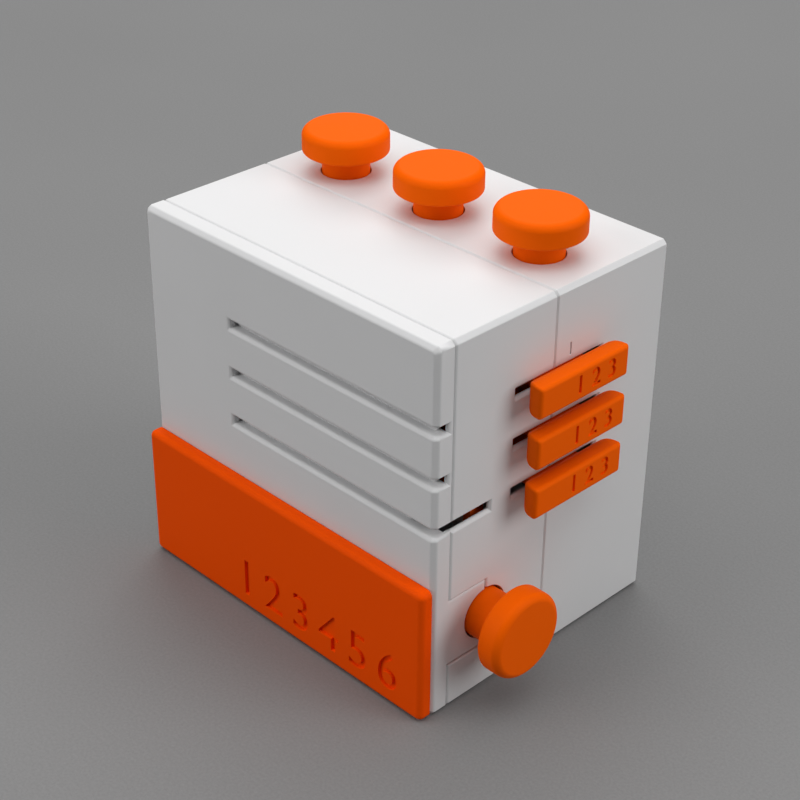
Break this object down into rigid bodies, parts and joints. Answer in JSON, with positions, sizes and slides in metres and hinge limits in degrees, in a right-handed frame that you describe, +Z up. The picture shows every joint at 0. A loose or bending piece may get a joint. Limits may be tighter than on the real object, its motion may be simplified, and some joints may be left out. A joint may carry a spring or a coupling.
{
  "type": "combination lock box",
  "caption": "Printed plastic puzzle lock box with a front drawer, side sliders, push-pull top pins and a side plunger that locks the drawer.",
  "frame": {"origin": "centre of the housing on the surface that it stands on, knobs and drawer front left out", "axes": "+X towards the side plunger, +Y towards the back, +Z up"},
  "size_m": [0.1027, 0.0732, 0.1005],
  "materials": {
    "white_plastic": "satin white printed plastic",
    "orange_plastic": "satin orange printed plastic",
    "steel": "plain steel"
  },
  "bodies": {
    "housing": {"front_cover": "white_plastic", "middle_shell": "white_plastic", "rear_shell": "white_plastic", "guide_comb": "white_plastic", "housing_screws": "steel"},
    "slider_1": {"slider_handle_1": "orange_plastic", "gate_plate_1": "orange_plastic"},
    "push_pin_1": {"top_pin_1": "orange_plastic", "pin_clip_1": "orange_plastic"},
    "slider_2": {"slider_handle_2": "orange_plastic", "gate_plate_2": "orange_plastic"},
    "push_pin_2": {"top_pin_2": "orange_plastic", "pin_clip_2": "orange_plastic"},
    "slider_3": {"slider_handle_3": "orange_plastic", "gate_plate_3": "orange_plastic"},
    "push_pin_3": {"top_pin_3": "orange_plastic", "pin_clip_3": "orange_plastic"},
    "lock_plunger": {"plunger": "orange_plastic", "fence": "orange_plastic", "plunger_clip": "orange_plastic"},
    "drawer": {"drawer_front": "orange_plastic", "drawer_tray": "orange_plastic"}
  },
  "joints": [
    {"name": "slider_1_slide", "type": "slide", "parent": "housing", "child": "slider_1", "axis": [0, 1, 0], "range_m": [-0.005, 0.005]},
    {"name": "slider_2_slide", "type": "slide", "parent": "housing", "child": "slider_2", "axis": [0, 1, 0], "range_m": [-0.005, 0.005]},
    {"name": "slider_3_slide", "type": "slide", "parent": "housing", "child": "slider_3", "axis": [0, 1, 0], "range_m": [-0.005, 0.005]},
    {"name": "top_pin_1_push", "type": "slide", "parent": "housing", "child": "push_pin_1", "axis": [0, 0, 1], "range_m": [-0.0044, 0]},
    {"name": "top_pin_2_push", "type": "slide", "parent": "housing", "child": "push_pin_2", "axis": [0, 0, 1], "range_m": [-0.0044, 0]},
    {"name": "top_pin_3_push", "type": "slide", "parent": "housing", "child": "push_pin_3", "axis": [0, 0, 1], "range_m": [-0.0044, 0]},
    {"name": "plunger_push", "type": "slide", "parent": "housing", "child": "lock_plunger", "axis": [1, 0, 0], "range_m": [-0.0066, 0]},
    {"name": "drawer_slide", "type": "slide", "parent": "housing", "child": "drawer", "axis": [0, -1, 0], "range_m": [0, 0.052]}
  ]
}
